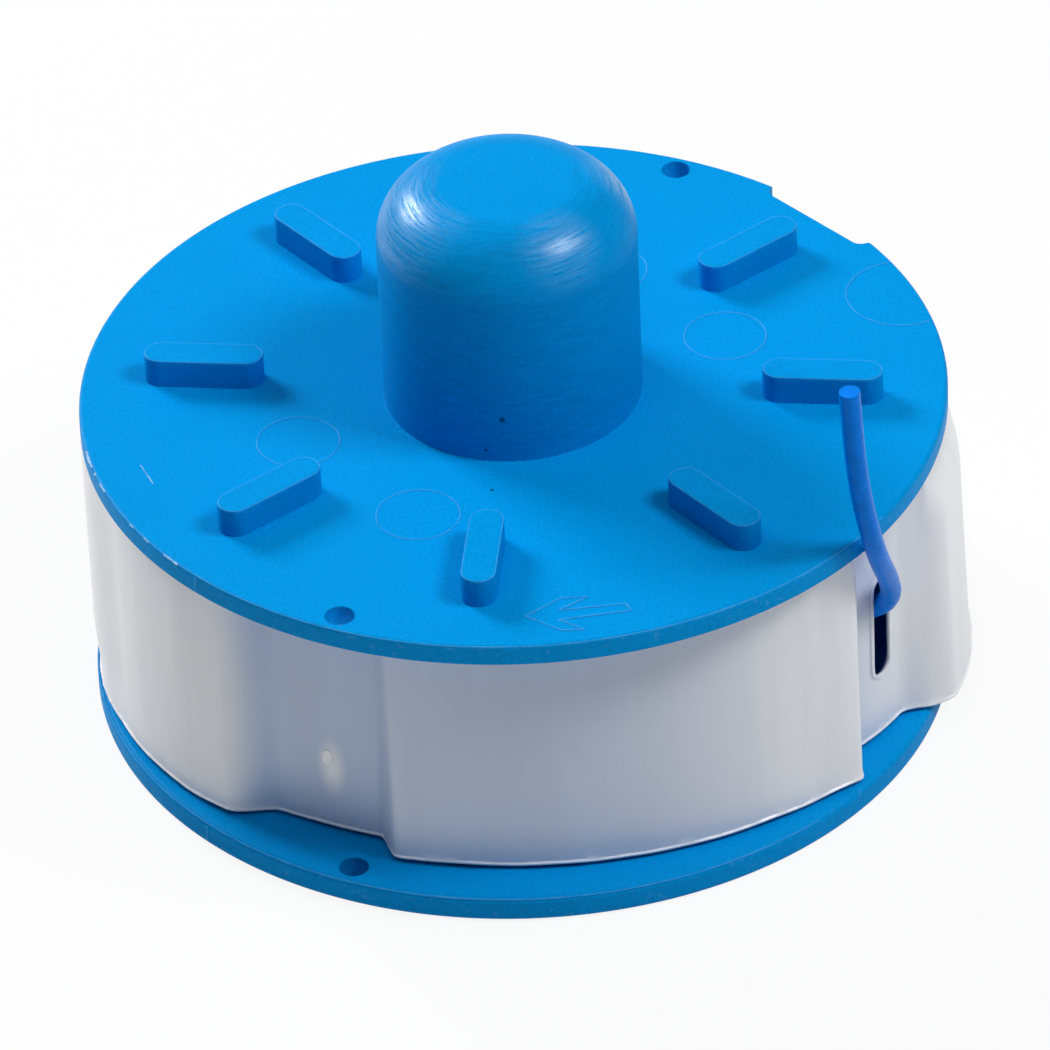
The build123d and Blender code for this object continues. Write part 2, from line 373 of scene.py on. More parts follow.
def moulding_material(sizes):
    """Satin blue moulding: fine grain, turning rings on the boss, worn rims, and a painted highlight on the
    boss's shoulder.
    """
    material, tree, shader, where = new_material("Satin blue moulding")
    axes, radius = round_axis(tree, where)
    grain = grained(tree, where, grain=3800.0, mottle=160.0)

    # The turning rings cover the boss apart from its flat top; in places its shoulder gets a glossy coat and
    # a paler colour, which is a painted highlight
    top_disc = sizes.boss_radius - sizes.boss_shoulder
    on_boss = times(
        tree,
        ramp(tree, radius, sizes.boss_radius + 0.5 * MM, sizes.boss_radius + 0.2 * MM),
        ramp(tree, axes["Z"], sizes.upper_face + 0.1 * MM, sizes.upper_face + 0.5 * MM),
        ramp(tree, radius, top_disc - 0.1 * MM, top_disc + 0.5 * MM))
    ring_squeeze = 0.07
    along_rings = place(tree, "ShaderNodeCombineXYZ", {
        "X": times(tree, axes["X"], ring_squeeze),
        "Y": times(tree, axes["Y"], ring_squeeze),
        "Z": maths(tree, "SUBTRACT", axes["Z"], radius)}).outputs["Vector"]
    rings = noisy(tree, along_rings, scale=6200.0, detail=3.0, roughness=0.65)
    streaks = noisy(tree, along_rings, scale=4200.0, detail=4.0, roughness=0.75)
    streaks = ramp(tree, streaks, 0.36, 0.58)
    below = 3 * MM
    shoulder = ramp(tree, axes["Z"], sizes.boss_top - sizes.boss_shoulder - below, sizes.boss_top - below)
    polish_and_highlight = spotted(tree, where, 0.0, POLISH_AND_HIGHLIGHT_SPOTS, core=0.25)
    rubbed_and_painted_highlight = times(tree, streaks, times(tree, times(tree, on_boss, shoulder), polish_and_highlight))

    rim = ramp(tree, radius, sizes.flange_radius - 0.28 * MM, sizes.flange_radius - 0.05 * MM)
    patches = ramp(tree, noisy(tree, where, scale=1500.0, detail=3.0, roughness=0.6), 0.58, 0.72)
    turned_lines = times(tree, on_boss, ramp(tree, rings, 0.58, 0.40, 0.0, 0.30))
    specks = specked(tree, where, cells=120.0, size=0.012, kept=0.10)
    dirt = spotted(tree, where, specks, DIRT, core=0.4)

    deep = opaque(sizes.blue, 0.88)
    # Paler blue for worn rim patches, and for the painted highlight on the boss's shoulder
    scuffed_and_highlight = opaque(sizes.scuffed_and_highlight)
    body = mixed(tree, ramp(tree, grain["Grain"], 0.36, 0.60), deep, opaque(sizes.blue))
    body = mixed(tree, ramp(tree, grain["Mottle"], 0.60, 0.35, 0.0, 0.25), body, deep)
    body = mixed(tree, turned_lines, body, opaque(sizes.blue, 0.62))
    body = mixed(tree, times(tree, rim, patches, 0.10), body, scuffed_and_highlight)
    # Painted highlight: the boss's shoulder turned paler in streaks where the lamps' highlights fall
    body = mixed(tree, times(tree, rubbed_and_painted_highlight, 0.10), body, scuffed_and_highlight)
    body = mixed(tree, times(tree, dirt, 0.75), body, (0.0, 0.03, 0.09, 1.0))
    rough = maths(tree, "MULTIPLY_ADD", grain["Grain"], 0.12, sizes.roughness - 0.06)
    off_boss = maths(tree, "SUBTRACT", 1.0, on_boss)
    height = maths(tree, "ADD", times(tree, rings, times(tree, on_boss, 1.2)),
                   times(tree, grain["Grain"], off_boss))
    feed(tree, shader, {
        "Base Color": body,
        "Coat Weight": times(tree, rubbed_and_painted_highlight, 0.70),
        "Coat Roughness": 0.26,
        "Roughness": maths(tree, "MULTIPLY_ADD", on_boss, -0.08, rough),
        "Normal": bump(tree, height, distance=0.016 * MM),
        "Specular IOR Level": 0.025,
    })
    return material


def mark_material(name, sizes, tone, amount):
    """Moulding blue turned paler on raised marks: on torn flash the whitening of torn plastic, on the other
    marks wear together with a painted highlight.
    """
    material, tree, shader, where = new_material(name)
    grain = grained(tree, where, grain=3800.0, mottle=900.0)
    pale = ramp(tree, grain["Mottle"], 0.30, 0.62, 0.4 * amount, amount)
    feed(tree, shader, {
        "Base Color": mixed(tree, pale, opaque(sizes.blue), opaque(tone)),
        "Roughness": maths(tree, "MULTIPLY_ADD", grain["Grain"], 0.12, 0.36),
        "Normal": bump(tree, grain["Grain"], distance=0.01 * MM),
        "Specular IOR Level": 0.05,
    })
    return material


def line_material(sizes):
    """Smooth blue nylon with a fine grain and a soft mottle."""
    if "Drawn blue nylon" in bpy.data.materials:
        return bpy.data.materials["Drawn blue nylon"]
    material, tree, shader, where = new_material("Drawn blue nylon")
    grain = grained(tree, where, grain=2500.0, mottle=700.0)
    mottle = ramp(tree, grain["Mottle"], 0.35, 0.7)
    feed(tree, shader, {
        "Base Color": mixed(tree, mottle, opaque(sizes.blue), opaque(sizes.blue, 1.18)),
        "Roughness": maths(tree, "MULTIPLY_ADD", grain["Grain"], 0.10, 0.24),
        "Normal": bump(tree, grain["Grain"], distance=0.006 * MM),
        "Specular IOR Level": 0.05,
    })
    return material


def band_material(sizes):
    """Milky soft plastic with soft upright streaks; darker and bluer where the wall comes close to the
    winding, a painted tint of the line showing through with painted shade; a painted shadow round the slot
    and a painted highlight round the gate mark.
    """
    material, tree, shader, where = new_material("Milky soft plastic")
    axes, radius = round_axis(tree, where)
    grain = grained(tree, where, grain=2200.0, mottle=90.0)
    streaks = noisy(tree, stretched(tree, where, (1.0, 1.0, 0.10)), scale=300.0)
    # Darker, bluer wall close to the winding, which takes in the front and the recesses: a painted tint of
    # the line showing through, with painted shade
    line_tint_and_shade = ramp(tree, radius, winding_high.x + 4.6 * MM, winding_high.x + 2.0 * MM)
    # Dark blue round the slot: a painted shadow, with the free end's blue painted as if seen through the wall
    slot_shadow_and_tint = close_to(tree, where, (25.9, -11.9, 14.6), size=2.0, core=0.3, high=0.55)
    upright = stretched(tree, where, (1.0, 1.0, 0.45))
    # White smear round the gate mark: the gate's whiter plastic, partly a painted highlight
    gate_smear_and_glint = close_to(tree, upright, (-11.3, -23.9, 3.45), size=1.4, core=0.2, high=0.85)
    # A little whiter along the lowest half millimetre: a paler cut edge, partly a painted highlight along the
    # lower edge
    lower_edge = ramp(tree, axes["Z"], sizes.bottom + 0.62 * MM, sizes.bottom + 0.45 * MM)
    specks = specked(tree, where, cells=220.0, size=0.03, kept=0.15)

    body = mixed(tree, line_tint_and_shade, opaque(sizes.milk), opaque(sizes.shown_line_and_shade))
    body = mixed(tree, ramp(tree, streaks, 0.62, 0.35, 0.0, 0.12), body, (0.45, 0.47, 0.55, 1.0))
    body = mixed(tree, slot_shadow_and_tint, body, (0.22, 0.31, 0.52, 1.0))
    body = mixed(tree, gate_smear_and_glint, body, (1.0, 1.0, 1.0, 1.0))
    body = mixed(tree, times(tree, lower_edge, 0.45), body, (0.93, 0.93, 0.95, 1.0))
    body = mixed(tree, times(tree, specks, 0.4), body, (0.95, 0.95, 0.97, 1.0))
    height = maths(tree, "MULTIPLY_ADD", streaks, 6.0, grain["Grain"])
    feed(tree, shader, {
        "Base Color": body,
        "Roughness": maths(tree, "MULTIPLY_ADD", grain["Mottle"], 0.12, 0.26),
        "Normal": bump(tree, height, distance=0.012 * MM),
        "Subsurface Weight": 0.25,
        "Subsurface Radius": (1.0, 1.0, 1.0),
        "Subsurface Scale": 0.6 * MM,
    })
    return material


def gate_material():
    """Glossy white plastic of the gate mark, whiter than the band: partly a painted highlight of its glint.
    """
    material, tree, shader, where = new_material("Glossy gate mark with painted glint")
    grain = grained(tree, where, grain=2500.0, mottle=1200.0)
    mottle = ramp(tree, grain["Mottle"], 0.3, 0.6)
    feed(tree, shader, {
        "Base Color": mixed(tree, mottle, (0.92, 0.93, 0.94, 1.0), (1.0, 1.0, 1.0, 1.0)),
        "Roughness": maths(tree, "MULTIPLY_ADD", grain["Grain"], 0.1, 0.10),
        "Specular IOR Level": 0.8,
    })
    return material


# Meshes

def rounded_outline(corners, step=math.radians(6)):
    """Points of a closed outline whose corners, given as (u, v, radius), are rounded."""
    points = []
    for index, (u, v, radius) in enumerate(corners):
        corner = Vector((u, v))
        if radius == 0:
            points.append(corner)
            continue
        into = (Vector(corners[index - 1][:2]) - corner).normalized()
        out = (Vector(corners[(index + 1) % len(corners)][:2]) - corner).normalized()
        half = into.angle(out) / 2
        centre = corner + (into + out).normalized() * radius / math.sin(half)
        start = corner + into * radius / math.tan(half) - centre
        end = corner + out * radius / math.tan(half) - centre
        first = math.atan2(start.y, start.x)
        turn = (math.atan2(end.y, end.x) - first + math.pi) % math.tau - math.pi
        steps = max(2, math.ceil(abs(turn) / step))
        for part in range(steps + 1):
            way = first + turn * part / steps
            points.append(centre + radius * Vector((math.cos(way), math.sin(way))))
    return points


def right_hand_ways(points):
    """The way to the right of a closed path at each of its points."""
    ways = []
    for index in range(len(points)):
        along = points[(index + 1) % len(points)] - points[index - 1]
        ways.append(Vector((along.y, -along.x)).normalized())
    return ways


def new_piece(name, shape):
    """An object at the origin that holds a bmesh, with normals facing outwards."""
    bmesh.ops.remove_doubles(shape, verts=shape.verts, dist=1e-7)
    bmesh.ops.recalc_face_normals(shape, faces=shape.faces)
    mesh = bpy.data.meshes.new(name)
    shape.to_mesh(mesh)
    shape.free()
    piece = bpy.data.objects.new(name, mesh)
    bpy.context.scene.collection.objects.link(piece)
    return piece


def turned(name, outline, segments):
    """A piece whose outline, in radius and height, is turned round the spool's axis."""
    shape = bmesh.new()
    rings = []
    for radius, height in outline:
        ways = [math.tau * k / segments for k in range(segments)] if radius > 1e-9 else [0.0]
        rings.append([shape.verts.new((radius * math.cos(w), radius * math.sin(w), height)) for w in ways])
    for ring, following in zip(rings, rings[1:] + rings[:1]):
        for k in range(segments):
            n = k + 1
            corners = [ring[k % len(ring)], ring[n % len(ring)],
                       following[n % len(following)], following[k % len(following)]]
            corners = list(dict.fromkeys(corners))
            if len(corners) > 2:
                shape.faces.new(corners)
    return new_piece(name, shape)


def prism(name, outline, layers, spot=Matrix.Identity(4)):
    """A closed piece of an outline's rings, each layer a height and an amount the outline is drawn in."""
    middle = sum(outline, Vector((0, 0))) / len(outline)
    count = len(outline)
    outward = right_hand_ways(outline)
    if outward[0].dot(outline[0] - middle) < 0:
        outward = [-way for way in outward]
    shape = bmesh.new()
    rings = []
    for height, inset in layers:
        ring = []
        for point, way in zip(outline, outward):
            spread = point - way * inset
            ring.append(shape.verts.new(spot @ Vector((spread.x, spread.y, height))))
        rings.append(ring)
    for ring, following in zip(rings, rings[1:]):
        for k in range(count):
            n = (k + 1) % count
            shape.faces.new((ring[k], ring[n], following[n], following[k]))
    shape.faces.new(rings[0])
    shape.faces.new(rings[-1])
    return new_piece(name, shape)


def oblong(long, wide, steps=14):
    """Outline of an oblong with round ends, its overall length along the first axis."""
    radius = wide / 2
    middle = long / 2 - radius
    points = []
    for side in (1, -1):
        for k in range(steps + 1):
            way = math.pi * (k / steps - 0.5)
            points.append(side * Vector((middle + radius * math.cos(way), radius * math.sin(way))))
    return points


def eased(value, low, high):
    """A share that goes smoothly from 0 at low to 1 at high."""
    part = min(1.0, max(0.0, (value - low) / (high - low)))
    return part * part * (3 - 2 * part)


def swept(name, path, ways, section):
    """A closed ring: a section of (outward, upward) points carried round a closed path."""
    shape = bmesh.new()
    rows = []
    for point, way in zip(path, ways):
        rows.append([shape.verts.new((point.x + way.x * out, point.y + way.y * out, rise))
                     for out, rise in section])
    for row, following in zip(rows, rows[1:] + rows[:1]):
        for k in range(len(section)):
            n = (k + 1) % len(section)
            shape.faces.new((row[k], following[k], following[n], row[n]))
    return new_piece(name, shape)


def made_plain(piece):
    """Work a piece's modifiers into a plain mesh and remove them."""
    bpy.context.view_layer.update()
    graph = bpy.context.evaluated_depsgraph_get()
    mesh = bpy.data.meshes.new_from_object(
        piece.evaluated_get(graph), preserve_all_data_layers=True, depsgraph=graph)
    if not mesh.polygons:
        raise RuntimeError(piece.name + " came out empty")
    old = piece.data
    piece.modifiers.clear()
    piece.data = mesh
    bpy.data.meshes.remove(old)
    mesh.name = piece.name
    return piece


def combined(piece, others, operation):
    """Join other pieces to a piece, or cut them from it, and remove them."""
    for other in others:
        change = piece.modifiers.new(other.name, "BOOLEAN")
        change.operation = operation
        change.solver = "EXACT"
        change.object = other
    made_plain(piece)
    for other in others:
        mesh = other.data
        bpy.data.objects.remove(other)
        bpy.data.meshes.remove(mesh)
    return piece


def smoothed(piece, degrees):
    """Shade a piece smooth between its edges, with flat faces kept flat."""
    piece.data.shade_smooth()
    piece.data.set_sharp_from_angle(angle=math.radians(degrees))
    even = piece.modifiers.new("Even shading", "WEIGHTED_NORMAL")
    even.keep_sharp = True
    even.weight = 80
    return made_plain(piece)


def finished(piece, material=None, stands_for=()):
    """Give a piece its material, and let it ride on the spool and stand for CAD nodes."""
    if material is not None:
        piece.data.materials.clear()
        piece.data.materials.append(material)
    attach(piece, "root")
    if stands_for:
        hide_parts(*stands_for)


# Geometry Nodes

def new_geometry_group(name, inputs):
    """A Geometry Nodes group that takes a piece, named values and a material, and gives a piece back."""
    inputs = {"Geometry": ("Geometry", None), **inputs, "Material": ("Material", None)}
    tree, given, result = new_group(name, "GeometryNodeTree", inputs, {"Geometry": "Geometry"})
    tree.is_modifier = True
    return tree, given, result


def end_group(tree, geometry, given, result):
    """End a Geometry Nodes group in real meshes of its material."""
    real = place(tree, "GeometryNodeRealizeInstances", {"Geometry": geometry}).outputs[0]
    feeds = {"Geometry": real, "Material": given["Material"]}
    done = place(tree, "GeometryNodeSetMaterial", feeds).outputs[0]
    tree.links.new(done, result["Geometry"])
    return tree


def tube(tree, path, radius, sides):
    """The output of a round tube along a curve, with closed ends."""
    circle = place(tree, "GeometryNodeCurvePrimitiveCircle", {"Resolution": sides, "Radius": radius})
    feeds = {"Curve": path, "Profile Curve": circle.outputs[0], "Fill Caps": True}
    return place(tree, "GeometryNodeCurveToMesh", feeds).outputs[0]


def ring_of_copies():
    """Geometry group: copies of a piece spaced evenly round the spool's axis."""
    if "Ring of copies" in bpy.data.node_groups:
        return bpy.data.node_groups["Ring of copies"]
    tree, given, result = new_geometry_group("Ring of copies", {"Count": ("Int", 8)})
    points = place(tree, "GeometryNodePoints", {"Count": given["Count"]}).outputs[0]
    step = maths(tree, "DIVIDE", math.tau, given["Count"])
    turn = times(tree, place(tree, "GeometryNodeInputIndex").outputs[0], step)
    turn = place(tree, "ShaderNodeCombineXYZ", {"Z": turn}).outputs["Vector"]
    feeds = {"Points": points, "Instance": given["Geometry"], "Rotation": turn}
    copies = place(tree, "GeometryNodeInstanceOnPoints", feeds).outputs[0]
    return end_group(tree, copies, given, result)


def raised_bead():
    """Geometry group: a small uneven bead along the edges of a wire."""
    if "Raised bead" in bpy.data.node_groups:
        return bpy.data.node_groups["Raised bead"]
    tree, given, result = new_geometry_group("Raised bead", {
        "Bead radius": ("Float", 0.06 * MM), "Unevenness": ("Float", 0.0),
        "Waves per metre": ("Float", 900.0), "Seed": ("Float", 3.0)})
    path = place(tree, "GeometryNodeMeshToCurve", {"Mesh": given["Geometry"]}).outputs[0]
    bead = tube(tree, path, given["Bead radius"], sides=8)
    position = place(tree, "GeometryNodeInputPosition").outputs[0]
    feeds = {"Vector": position, "W": given["Seed"], "Scale": given["Waves per metre"], "Detail": 2.0}
    waves = place(tree, "ShaderNodeTexNoise", feeds, noise_dimensions="4D").outputs["Fac"]
    swell = times(tree, maths(tree, "SUBTRACT", waves, 0.5), given["Unevenness"])
    feeds = {0: place(tree, "GeometryNodeInputNormal").outputs[0], "Scale": swell}
    push = place(tree, "ShaderNodeVectorMath", feeds, operation="SCALE").outputs[0]
    moved = place(tree, "GeometryNodeSetPosition", {"Geometry": bead, "Offset": push}).outputs[0]
    soft = place(tree, "GeometryNodeSetShadeSmooth", {"Geometry": moved}).outputs[0]
    return end_group(tree, soft, given, result)


def wound_turns():
    """Geometry group: turns of line laid side by side over a core."""
    tree, given, result = new_geometry_group("Wound turns", {
        "Turns": ("Float", 13.0), "Radius": ("Float", 0.02425), "Bottom": ("Float", 0.003),
        "Rise": ("Float", 0.019), "Line diameter": ("Float", 0.0015), "Steps per turn": ("Int", 72)})
    helix = place(tree, "GeometryNodeCurveSpiral", {
        "Resolution": given["Steps per turn"], "Rotations": given["Turns"], "Start Radius": given["Radius"],
        "End Radius": given["Radius"], "Height": given["Rise"]}).outputs[0]
    lift = place(tree, "ShaderNodeCombineXYZ", {"Z": given["Bottom"]}).outputs["Vector"]
    helix = place(tree, "GeometryNodeSetPosition", {"Geometry": helix, "Offset": lift}).outputs[0]
    turns = tube(tree, helix, times(tree, given["Line diameter"], 0.5), sides=12)
    both = place(tree, "GeometryNodeJoinGeometry")
    tree.links.new(given["Geometry"], both.inputs[0])
    tree.links.new(turns, both.inputs[0])
    soft = place(tree, "GeometryNodeSetShadeSmooth", {"Geometry": both.outputs[0]}).outputs[0]
    return end_group(tree, soft, given, result)


def grown(piece, group, values):
    """Run a Geometry Nodes group on a piece with named values, and keep the result as a plain mesh."""
    if not piece.data.materials:
        piece.data.materials.append(values["Material"])
    change = piece.modifiers.new(group.name, "NODES")
    change.node_group = group
    for item in group.interface.items_tree:
        if item.in_out == "INPUT" and item.name in values:
            change[item.identifier] = values[item.name]
    return made_plain(piece)


# Pieces

class LINESPOOL_OT_moulding(bpy.types.Operator):
    """Turn the spool's body, add its webs and lugs, and cut its line holes and rim notch"""

    bl_idname = "line_spool.moulding"
    bl_label = "Moulded spool"

    def execute(self, context):
        sizes = context.scene.line_spool_moulding
        material = moulding_material(sizes)
        drum_bore = sizes.boss_radius + sizes.pocket_width
        drum = drum_bore + sizes.drum_wall
        rim, edge = sizes.flange_radius, sizes.rim_edge
        softened = 0.15 * MM
        outline = rounded_outline([
            (sizes.bore_radius, 0, softened),
            (sizes.boss_radius, 0, softened),
            (sizes.boss_radius, sizes.upper_underside, softened),
            (drum_bore, sizes.upper_underside, softened),
            (drum_bore, 0, softened),
            (rim, 0, sizes.rim_bottom),
            (rim, sizes.lower_face, sizes.lower_rim_edge),
            (drum, sizes.lower_face, edge),
            (drum, sizes.upper_underside, edge),
            (rim, sizes.upper_underside, softened),
            (rim, sizes.upper_face, edge),
            (sizes.boss_radius, sizes.upper_face, sizes.boss_foot),
            (sizes.boss_radius, sizes.boss_top, sizes.boss_shoulder),
            (0, sizes.boss_top, 0),
            (0, sizes.boss_top - sizes.crown, 0),
            (sizes.bore_radius, sizes.boss_top - sizes.crown, sizes.crown),
        ])
        spool = turned("spool_moulding", outline, segments=288)

        sunk = 0.5 * MM
        half = sizes.web_thickness / 2
        inner, outer = sizes.boss_radius - sunk, drum_bore + sunk
        plan = rounded_outline([(inner, -half, 0), (outer, -half, 0), (outer, half, 0), (inner, half, 0)])
        web = prism("web", plan, [(sizes.web_recess, 0), (sizes.upper_underside + sunk, 0)])
        webs = grown(web, ring_of_copies(), {"Count": sizes.lug_count, "Material": material})
        lug_middle = Matrix.Translation((rim - sizes.lug_rim_distance - sizes.lug_length / 2, 0, 0))
        rounding = [(sizes.upper_face + sizes.lug_height - sizes.lug_edge * (1 - math.sin(way)),
                     sizes.lug_edge * (1 - math.cos(way))) for way in (k * math.pi / 8 for k in range(5))]
        lug = prism("lug", oblong(sizes.lug_length + sizes.lug_width, sizes.lug_width),
                    [(sizes.upper_face - sunk, 0)] + rounding, lug_middle)
        lugs = grown(lug, ring_of_copies(), {"Count": sizes.lug_count, "Material": material})
        combined(spool, [webs, lugs], "UNION")

        hole, flare = sizes.hole_diameter / 2, sizes.hole_flare
        sides = 48
        ways = [math.tau * k / sides for k in range(sides)]
        circle = [hole * Vector((math.cos(way), math.sin(way))) for way in ways]
        layers = []
        for bottom, top in ((0, sizes.lower_face), (sizes.upper_underside, sizes.upper_face)):
            layers += [(bottom - flare, -2 * flare), (bottom + flare, 0),
                       (top - flare, 0), (top + flare, -2 * flare)]
        cutters = []
        for way in (sizes.hole_angle, sizes.hole_angle + math.pi):
            spot = Matrix.Rotation(way, 4, "Z") @ Matrix.Translation((rim - sizes.hole_rim_wall - hole, 0, 0))
            cutters.append(prism("line_hole", circle, layers, spot))
        beyond, above = 3 * MM, 1 * MM
        half = (sizes.notch_width - sizes.notch_slant * sizes.notch_depth) / 2
        wide = half + sizes.notch_slant * (sizes.notch_depth + beyond)
        floor = rim - sizes.notch_depth
        bite = rounded_outline([(floor, -half, sizes.notch_corner), (rim + beyond, -wide, 0),
                                (rim + beyond, wide, 0), (floor, half, sizes.notch_corner)])
        layers = [(sizes.upper_underside - above, 0), (sizes.upper_face + above, 0)]
        cutters.append(prism("rim_notch", bite, layers, Matrix.Rotation(sizes.notch_angle, 4, "Z")))
        combined(spool, cutters, "DIFFERENCE")
        smoothed(spool, degrees=32)
        finished(spool, material, ["spool"])
        return {"FINISHED"}


class LINESPOOL_OT_marks(bpy.types.Operator):
    """Lay the raised marks on the spool: pin rings, winding arrow, lug edges, a scratch and rim flash"""

    bl_idname = "line_spool.marks"
    bl_label = "Moulding marks"

    # Places and radii on the upper face in millimetres, and ways round the rim in degrees
    pins = ((-14.58, -7.49), (-5.20, -15.82), (14.65, 6.86), (5.4, 14.8))
    pin_radius = 2.95
    large_pin = (26.96, 12.72)
    large_pin_radius = 4.0
    arrow = ((3.38, -27.33), (5.63, -25.14), (7.52, -24.87), (5.64, -26.55), (10.23, -25.54), (10.67, -26.32),
             (5.74, -27.61), (7.63, -28.66), (6.01, -28.83))
    chips = ((197.6, 201.2), (202.6, 203.1), (205.0, 207.0), (215.1, 216.0), (218.7, 219.9), (223.4, 226.2))

    def execute(self, context):
        sizes = context.scene.line_spool_moulding
        # The raised marks' paler blue is partly wear, partly a painted highlight on the beads
        rubbed_and_painted_highlight = mark_material("Rubbed blue marks with painted highlight", sizes, sizes.scuffed_and_highlight, amount=0.13)
        torn = mark_material("Torn blue flash", sizes, sizes.whitened, amount=0.55)
        face, rim = sizes.upper_face / MM, sizes.flange_radius / MM
        underside = sizes.upper_underside / MM
        lower = (sizes.lower_face - 0.15 * MM) / MM
        level = face - 0.02
        side = rim - 0.02
        rings = [self.arc(x, y, self.pin_radius, 0, 355, level) for x, y in self.pins]
        chips = [self.arc(0, 0, rim - 0.05, first, last, face - 0.08) for first, last in self.chips]
        seams = [self.upright(229.8, side, underside + 0.15, face - 0.2),
                 self.upright(228.8, side, 0.6, lower - 0.2),
                 self.upright(246.0, side, underside + 0.1, underside + 0.5)]
        edges = [self.arc(0, 0, rim - 0.1, 183, 332, face - 0.1), self.arc(0, 0, rim - 0.1, 186, 318, lower)]
        scratch = [(-25.44 + 0.29 * k, -10.87 - 0.54 * k + 0.03 * (k % 2), face) for k in range(5)]

        # Each mark's paths, whether they close, its bead's radius and unevenness in millimetres,
        # and what else sets it apart
        is_torn = {"Material": torn}
        marks = {
            "pin_rings": (rings, True, 0.065, 0.03, {}),
            "cut_ring": ([self.cut_ring(rim, level)], False, 0.065, 0.03, {}),
            "winding_arrow": ([self.drawn_arrow(level)], True, 0.085, 0.03, {}),
            "scratches": ([scratch], False, 0.045, 0.05, is_torn),
            "lug_edges": ([self.lug_edge(sizes)], True, 0.05, 0.05, {}),
            "rim_flash": (edges, False, 0.06, 0.14, {"Waves per metre": 500.0}),
            "torn_flash": (chips, False, 0.08, 0.34, {"Waves per metre": 2100.0, **is_torn}),
            "rim_seams": (seams, False, 0.09, 0.06, {}),
        }
        for name, (paths, closed, radius, unevenness, different) in marks.items():
            mark = self.wire(name, paths, closed)
            grown(mark, raised_bead(), {
                "Bead radius": radius * MM, "Unevenness": unevenness * MM, "Material": rubbed_and_painted_highlight, **different})
            if name == "lug_edges":
                grown(mark, ring_of_copies(), {"Count": sizes.lug_count, "Material": rubbed_and_painted_highlight})
            finished(mark)
        return {"FINISHED"}

    def cut_ring(self, rim, height):
        """Points along the large ring that the rim cuts off, from one cut end to the other."""
        ring = self.arc(*self.large_pin, self.large_pin_radius, 0, 357, height)
        kept = [math.hypot(x, y) < rim - 0.25 for x, y, z in ring]
        first = next(k for k in range(len(ring)) if kept[k] and not kept[k - 1])
        return [ring[(first + k) % len(ring)] for k in range(sum(kept))]

    def drawn_arrow(self, height, steps=6):
        """Points along the arrow's outline, with so many steps from corner to corner."""
        points = []
        for here, there in zip(self.arrow, self.arrow[1:] + self.arrow[:1]):
            points += [(*Vector(here).lerp(Vector(there), k / steps), height) for k in range(steps)]
        return points

    def lug_edge(self, sizes):
        """Points along the rounded upper edge of the lug on +X."""
        width = (sizes.lug_width - 0.75 * sizes.lug_edge) / MM
        middle = sizes.flange_radius / MM - (sizes.lug_rim_distance + sizes.lug_length / 2) / MM
        top = sizes.upper_face / MM + (sizes.lug_height - 0.15 * sizes.lug_edge) / MM - 0.03
        around = oblong(sizes.lug_length / MM + width, width, steps=24)
        return [(middle + x, y, top) for x, y in around]

    def arc(self, x, y, radius, first, last, height):
        """Points along an arc between two angles in degrees, about a quarter of a millimetre apart."""
        apart = 0.25
        count = max(3, round(math.radians(last - first) * radius / apart))
        ways = [math.radians(first + (last - first) * k / count) for k in range(count + 1)]
        return [(x + radius * math.cos(way), y + radius * math.sin(way), height) for way in ways]

    def upright(self, degrees, radius, low, high):
        """Points up the rim's side at an angle."""
        way = math.radians(degrees)
        steps = 6
        heights = [low + (high - low) * k / steps for k in range(steps + 1)]
        return [(radius * math.cos(way), radius * math.sin(way), height) for height in heights]

    def wire(self, name, paths, closed):
        """A piece of bare edges along paths given in millimetres."""
        shape = bmesh.new()
        for path in paths:
            spots = [shape.verts.new(Vector(point) * MM) for point in path]
            for here, there in zip(spots, spots[1:] + (spots[:1] if closed else [])):
                shape.edges.new((here, there))
        return new_piece(name, shape)


class LINESPOOL_OT_winding(bpy.types.Operator):
    """Wind the line round the drum, with the last layer's turns laid side by side"""

    bl_idname = "line_spool.winding"
    bl_label = "Wound line"

    def execute(self, context):
        sizes = context.scene.line_spool_line
        radius = sizes.diameter / 2
        core = sizes.winding_radius - radius
        low, high = sizes.winding_bottom, sizes.winding_top
        outline = rounded_outline([(sizes.core_radius, low, 0), (core, low, radius), (core, high, radius),
                                   (sizes.core_radius, high, 0)])
        winding = turned("wound_line", outline, segments=96)
        rise = high - low - sizes.diameter
        pitch = 1.01 * sizes.diameter
        grown(winding, wound_turns(), {
            "Turns": float(round(rise / pitch)), "Radius": core, "Bottom": low + radius, "Rise": rise,
            "Line diameter": sizes.diameter, "Steps per turn": 72, "Material": line_material(sizes)})
        finished(winding, None, ["line_winding"])
        return {"FINISHED"}


class LINESPOOL_OT_free_end(bpy.types.Operator):
    """Lead the line's free end out through the band's slot and up past the rim"""

    bl_idname = "line_spool.free_end"
    bl_label = "Free line end"

    def execute(self, context):
        sizes = context.scene.line_spool_line
        route = [
            (24.2, -9.4, 11.8),
            (26.75, -10.65, 13.4),
            (27.7, -11.7, 15.3),
            (27.6, -13.5, 18.1),
            (27.2, -16.3, 21.6),
            (26.8, -18.4, 25.2),
            (26.2, -19.8, 29.8),
            (25.8, -20.4, 34.6),
            (25.6, -20.5, 39.1),
        ]
        curve = bpy.data.curves.new("free_line_end", "CURVE")
        curve.dimensions = "3D"
        curve.resolution_u = 24
        curve.bevel_depth = sizes.diameter / 2
        curve.bevel_resolution = 6
        curve.use_fill_caps = True
        spline = curve.splines.new("NURBS")
        spline.points.add(len(route) - 1)
        for point, spot in zip(spline.points, route):
            point.co = (*(Vector(spot) * MM), 1.0)
        spline.order_u = 3
        spline.use_endpoint_u = True
        tail = bpy.data.objects.new("free_line_end", curve)
        context.scene.collection.objects.link(tail)
        finished(tail, line_material(sizes), ["line_tail"])
        return {"FINISHED"}


